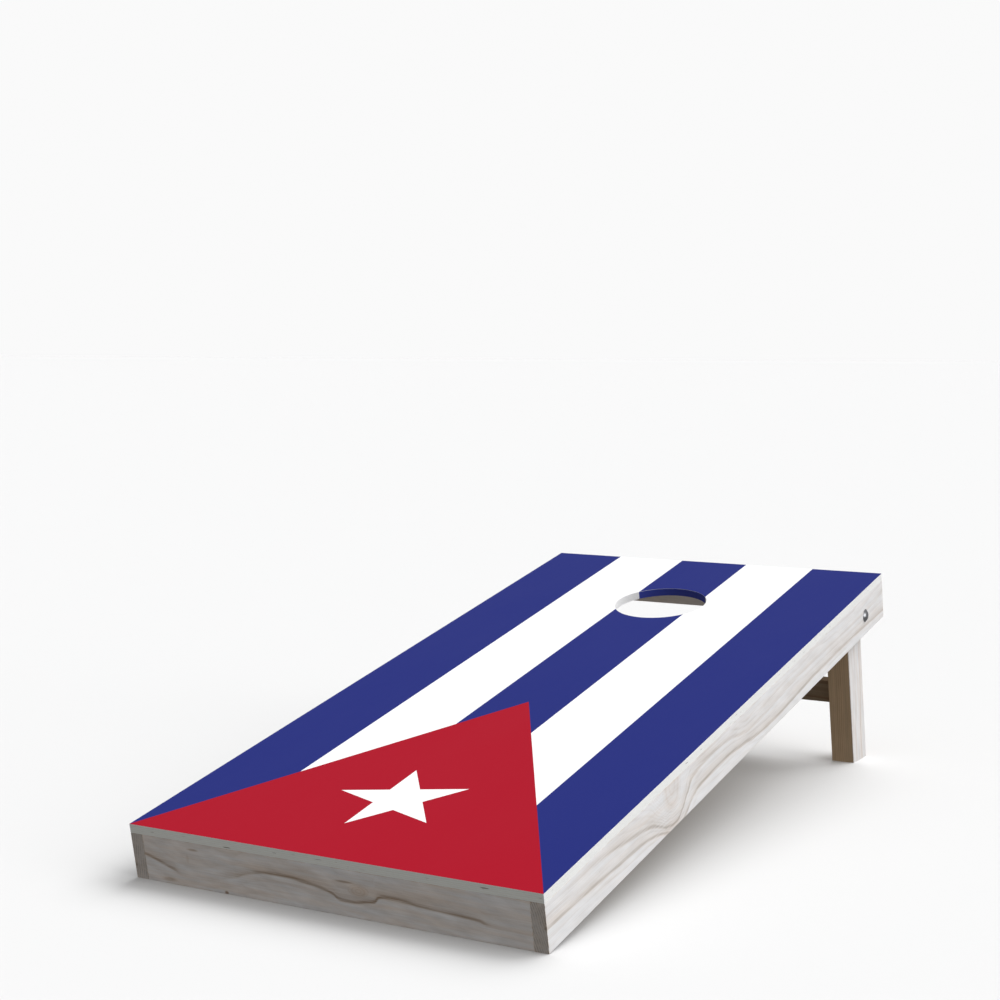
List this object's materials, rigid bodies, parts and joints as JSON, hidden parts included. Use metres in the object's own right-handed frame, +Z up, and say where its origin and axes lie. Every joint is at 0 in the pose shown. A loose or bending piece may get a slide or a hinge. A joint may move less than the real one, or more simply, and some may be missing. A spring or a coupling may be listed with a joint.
{
  "type": "cornhole board",
  "caption": "Sloped lawn game board with a round bag hole near its high end, on a rectangular wooden frame with a braced pair of folding legs.",
  "frame": {"origin": "on the floor, below the middle of the board's bounding box in its playing position", "axes": "+X across the board to the right as a player facing it sees it, +Y from the board's low front to its high back, +Z up"},
  "size_m": [0.6194, 1.2102, 0.3143],
  "materials": {
    "printed_film": "satin laminate, printed in blue, white and red",
    "plywood": "sanded birch plywood, edges whitewashed",
    "whitewashed_pine": "thin white wash over pine",
    "zinc_steel": "bright zinc plate",
    "screw_steel": "yellow zinc plate",
    "nylon": "natural nylon"
  },
  "bodies": {
    "frame": {"deck": "plywood", "graphic_film": "printed_film", "side_rail_left": "whitewashed_pine", "side_rail_right": "whitewashed_pine", "front_rail": "whitewashed_pine", "centre_support": "whitewashed_pine", "back_rail": "whitewashed_pine", "pivot_bolt_left": "zinc_steel", "pivot_bolt_right": "zinc_steel", "spacer_washer_left": "zinc_steel", "spacer_washer_right": "zinc_steel", "nut_washer_left": "zinc_steel", "nut_washer_right": "zinc_steel", "lock_nut_left": "zinc_steel", "lock_nut_right": "zinc_steel", "lock_insert_left": "nylon", "lock_insert_right": "nylon", "deck_screws": "screw_steel", "frame_screws": "screw_steel"},
    "leg_assembly": {"leg_left": "whitewashed_pine", "leg_right": "whitewashed_pine", "leg_brace": "whitewashed_pine", "brace_screws": "screw_steel"}
  },
  "joints": [
    {"name": "leg_fold", "type": "hinge", "parent": "frame", "child": "leg_assembly", "pos_m": [0, 0.50861, 0.25301], "axis": [-1, 0, 0], "range_deg": [0, 90]}
  ]
}
